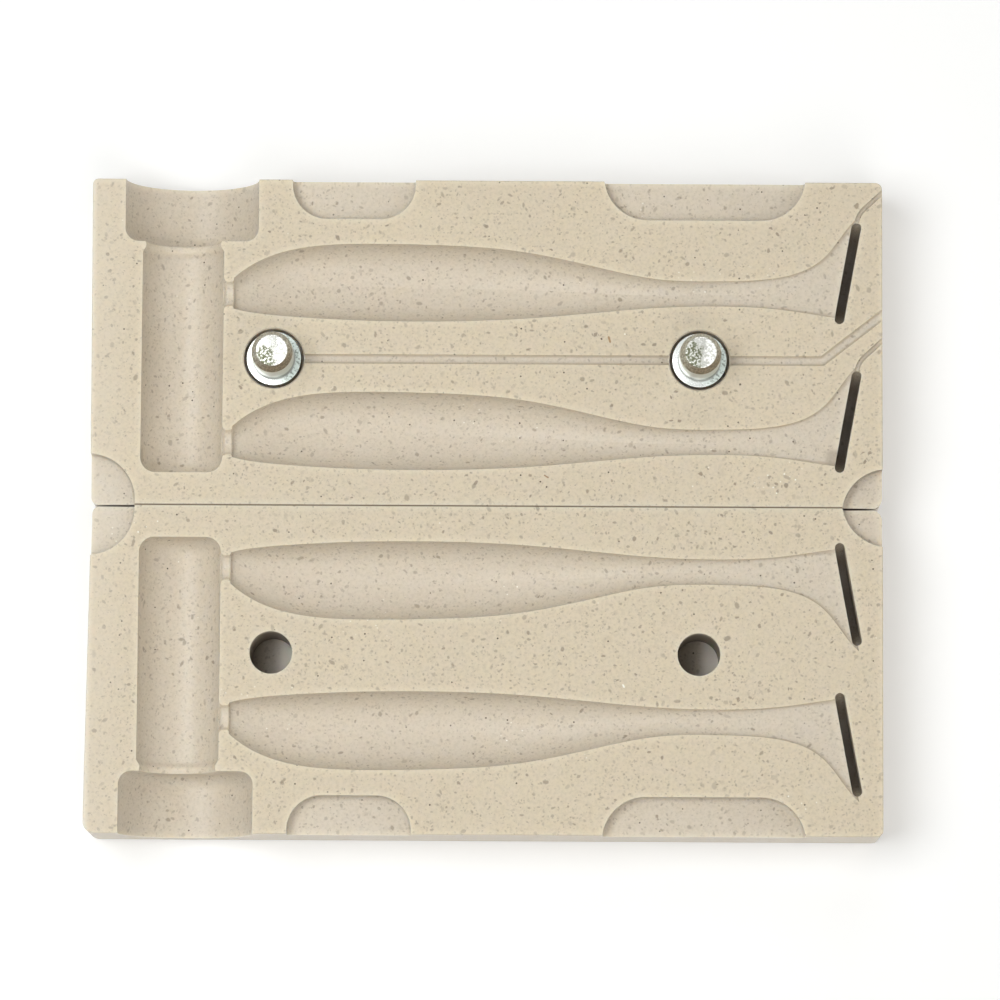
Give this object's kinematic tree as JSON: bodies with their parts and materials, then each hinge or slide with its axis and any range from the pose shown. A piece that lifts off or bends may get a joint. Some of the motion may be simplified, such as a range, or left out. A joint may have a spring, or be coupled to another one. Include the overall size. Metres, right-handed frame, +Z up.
{
  "type": "fishing lure mould",
  "caption": "Open two-part stone mould for injecting soft paddle-tail fishing lures: one half has guide pins, the other their holes, and both have cavities, runner and port.",
  "frame": {"origin": "centre of the open mould's footprint, on the surface that it lies on, in the seam between the halves", "axes": "+X along the lures from nose to tail, +Y from the seam towards the half with the guide pins, +Z up out of the cavities"},
  "size_m": [0.1156, 0.0958, 0.0205],
  "materials": {
    "acrylic_stone": "matte",
    "plated_steel": "satin"
  },
  "bodies": {
    "root": {"pin_half": "acrylic_stone", "hole_half": "acrylic_stone", "left_guide_pin": "plated_steel", "right_guide_pin": "plated_steel"}
  },
  "joints": []
}
